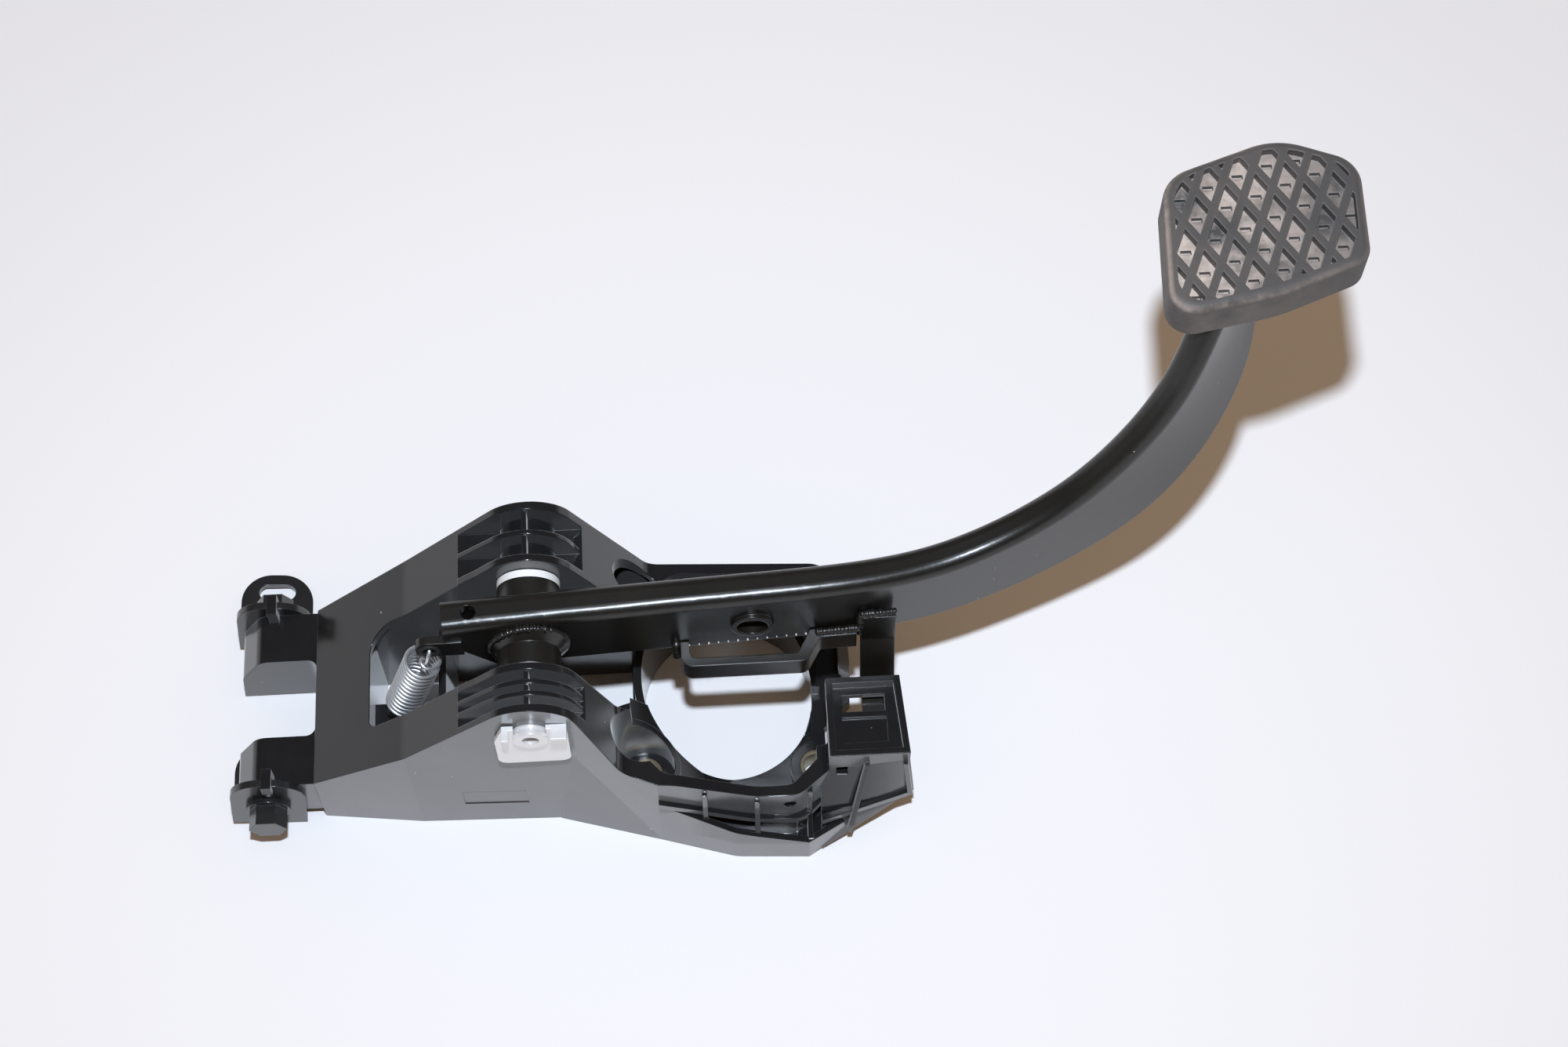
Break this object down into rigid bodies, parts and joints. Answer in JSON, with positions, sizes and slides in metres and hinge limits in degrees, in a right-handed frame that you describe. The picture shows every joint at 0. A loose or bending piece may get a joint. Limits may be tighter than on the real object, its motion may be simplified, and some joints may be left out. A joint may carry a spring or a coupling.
{
  "type": "brake pedal",
  "caption": "Car brake pedal: curved pressed-steel arm with a rubber pad, hinged on a pin in a moulded bracket with a booster opening, switch holder, return spring and bolted feet.",
  "frame": {"origin": "centre of the booster opening on the bracket's bulkhead face", "axes": "+X along the pedal towards the pad, +Y along the pivot pin, +Z away from the bulkhead face"},
  "size_m": [0.38, 0.1627, 0.185],
  "materials": {
    "black_nylon": "satin moulded, fine grain",
    "black_paint": "gloss dip coat",
    "black_bolt": "black coated steel",
    "zinc": "zinc plate",
    "white_bush": "white acetal",
    "sleeve_steel": "yellow zinc",
    "pad_rubber": "worn, dusty",
    "liner": "matt"
  },
  "bodies": {
    "bracket": {"pedal_bracket": "black_nylon", "near_foot_bracket": "black_bolt", "far_foot_bracket": "black_bolt", "near_foot_bolt": "black_bolt", "far_foot_bolt": "black_bolt", "near_foot_nut": "zinc", "far_foot_nut": "zinc", "near_left_stud_sleeve": "sleeve_steel", "near_right_stud_sleeve": "sleeve_steel", "far_left_stud_sleeve": "sleeve_steel", "far_right_stud_sleeve": "sleeve_steel", "pivot_pin": "zinc", "pin_retaining_plate": "zinc", "return_spring": "zinc"},
    "pedal": {"near_bush": "white_bush", "far_bush": "white_bush", "pivot_tube": "black_paint", "pedal_arm": "black_paint", "pushrod_strap": "black_paint", "switch_actuator": "black_paint", "spring_grommet": "liner", "pad_plate": "black_paint", "pedal_pad": "pad_rubber"}
  },
  "joints": [
    {"name": "pedal_pivot", "type": "hinge", "parent": "bracket", "child": "pedal", "pos_m": [-0.0645, 0, 0.078], "axis": [0, 1, 0], "range_deg": [0, 15], "stiffness_Nm_per_rad": 3, "springref_deg": -34.38, "deforming": ["return_spring"]}
  ]
}
